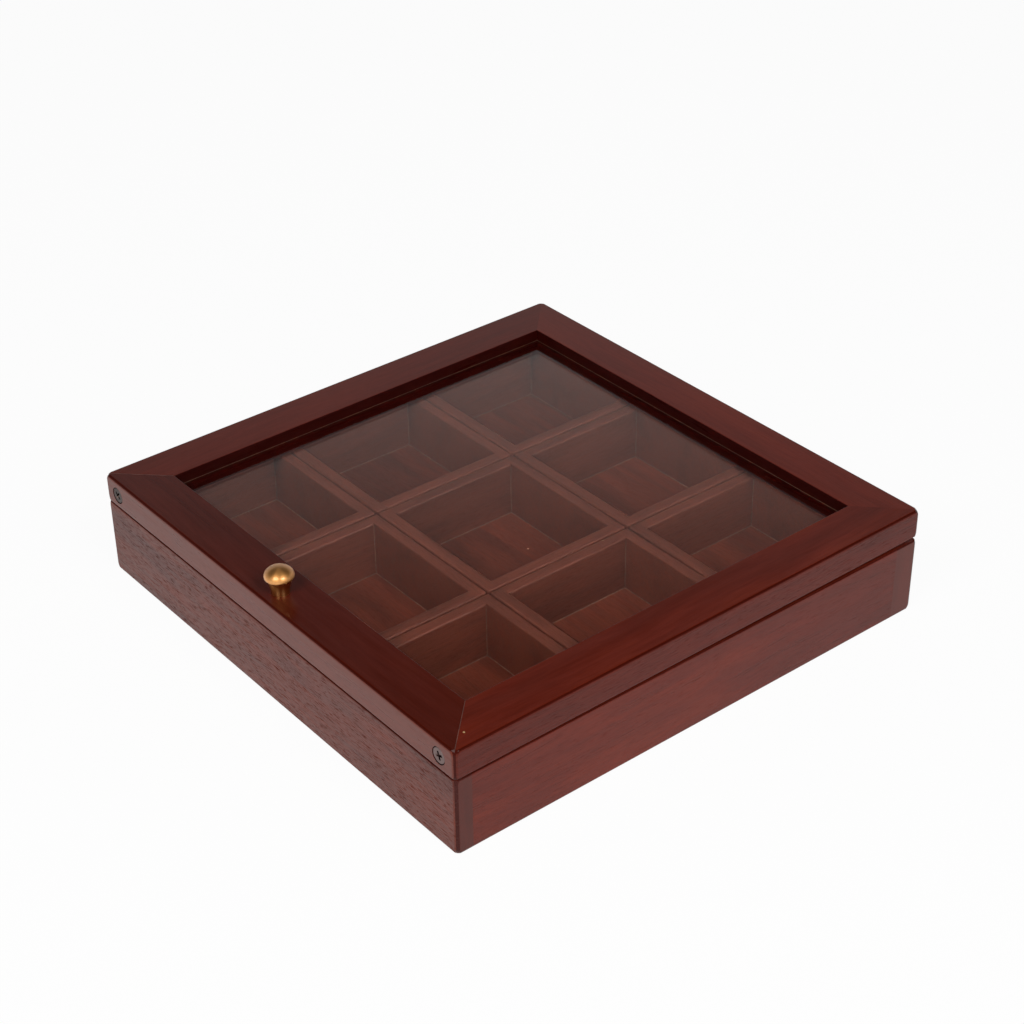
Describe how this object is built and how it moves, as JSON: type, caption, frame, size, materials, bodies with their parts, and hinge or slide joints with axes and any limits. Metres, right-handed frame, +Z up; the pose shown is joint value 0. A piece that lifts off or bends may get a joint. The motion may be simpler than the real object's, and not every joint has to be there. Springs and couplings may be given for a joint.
{
  "type": "tea bag organizer box",
  "caption": "Shallow square hardwood box with a hinged, mitred glass lid, a small turned brass knob and square lift-out wooden cups for tea bags.",
  "frame": {"origin": "centre of the underside of the base, midway between its left and right faces and between its front and rear faces", "axes": "+X to the right seen from the knob side, +Y from the knob side towards the hinges, +Z up"},
  "size_m": [0.24, 0.2425, 0.0587],
  "materials": {
    "panel_wood": "satin stained lacquer",
    "rail_wood": "satin stained lacquer",
    "cup_wood": "thin matt stained lacquer",
    "board_wood": "stained board",
    "pane": "clear polished",
    "knob_brass": "satin",
    "hinge_brass": "dull",
    "screw_steel": "bright with darker recess"
  },
  "bodies": {
    "base": {"front_panel": "panel_wood", "rear_panel": "panel_wood", "left_panel": "panel_wood", "right_panel": "panel_wood", "bottom_panel": "board_wood", "hinge_left_base_leaf": "hinge_brass", "hinge_right_base_leaf": "hinge_brass", "hinge_left_pin": "hinge_brass", "hinge_right_pin": "hinge_brass", "hinge_base_screws": "hinge_brass"},
    "lid": {"lid_front_rail": "rail_wood", "lid_rear_rail": "rail_wood", "lid_left_rail": "rail_wood", "lid_right_rail": "rail_wood", "glass_pane": "pane", "knob": "knob_brass", "knob_screw": "screw_steel", "front_corner_screws": "screw_steel", "rear_corner_screws": "screw_steel", "hinge_left_lid_leaf": "hinge_brass", "hinge_right_lid_leaf": "hinge_brass", "hinge_lid_screws": "hinge_brass"},
    "cup_front_left": {"cup_front_left_long_walls": "cup_wood", "cup_front_left_short_walls": "cup_wood", "cup_front_left_floor": "cup_wood"},
    "cup_front_middle": {"cup_front_middle_long_walls": "cup_wood", "cup_front_middle_short_walls": "cup_wood", "cup_front_middle_floor": "cup_wood"},
    "cup_front_right": {"cup_front_right_long_walls": "cup_wood", "cup_front_right_short_walls": "cup_wood", "cup_front_right_floor": "cup_wood"},
    "cup_centre_left": {"cup_centre_left_long_walls": "cup_wood", "cup_centre_left_short_walls": "cup_wood", "cup_centre_left_floor": "cup_wood"},
    "cup_centre_middle": {"cup_centre_middle_long_walls": "cup_wood", "cup_centre_middle_short_walls": "cup_wood", "cup_centre_middle_floor": "cup_wood"},
    "cup_centre_right": {"cup_centre_right_long_walls": "cup_wood", "cup_centre_right_short_walls": "cup_wood", "cup_centre_right_floor": "cup_wood"},
    "cup_rear_left": {"cup_rear_left_long_walls": "cup_wood", "cup_rear_left_short_walls": "cup_wood", "cup_rear_left_floor": "cup_wood"},
    "cup_rear_middle": {"cup_rear_middle_long_walls": "cup_wood", "cup_rear_middle_short_walls": "cup_wood", "cup_rear_middle_floor": "cup_wood"},
    "cup_rear_right": {"cup_rear_right_long_walls": "cup_wood", "cup_rear_right_short_walls": "cup_wood", "cup_rear_right_floor": "cup_wood"}
  },
  "joints": [
    {"name": "lid_hinge", "type": "hinge", "parent": "base", "child": "lid", "pos_m": [0, 0.1213, 0.0351], "axis": [-1, 0, 0], "range_deg": [0, 180]},
    {"name": "cup_front_left_lift", "type": "slide", "parent": "base", "child": "cup_front_left", "axis": [0, 0, 1], "range_m": [0, 0.001]},
    {"name": "cup_front_middle_lift", "type": "slide", "parent": "base", "child": "cup_front_middle", "axis": [0, 0, 1], "range_m": [0, 0.001]},
    {"name": "cup_front_right_lift", "type": "slide", "parent": "base", "child": "cup_front_right", "axis": [0, 0, 1], "range_m": [0, 0.001]},
    {"name": "cup_centre_left_lift", "type": "slide", "parent": "base", "child": "cup_centre_left", "axis": [0, 0, 1], "range_m": [0, 0.001]},
    {"name": "cup_centre_middle_lift", "type": "slide", "parent": "base", "child": "cup_centre_middle", "axis": [0, 0, 1], "range_m": [0, 0.0055]},
    {"name": "cup_centre_right_lift", "type": "slide", "parent": "base", "child": "cup_centre_right", "axis": [0, 0, 1], "range_m": [0, 0.001]},
    {"name": "cup_rear_left_lift", "type": "slide", "parent": "base", "child": "cup_rear_left", "axis": [0, 0, 1], "range_m": [0, 0.001]},
    {"name": "cup_rear_middle_lift", "type": "slide", "parent": "base", "child": "cup_rear_middle", "axis": [0, 0, 1], "range_m": [0, 0.001]},
    {"name": "cup_rear_right_lift", "type": "slide", "parent": "base", "child": "cup_rear_right", "axis": [0, 0, 1], "range_m": [0, 0.001]}
  ]
}
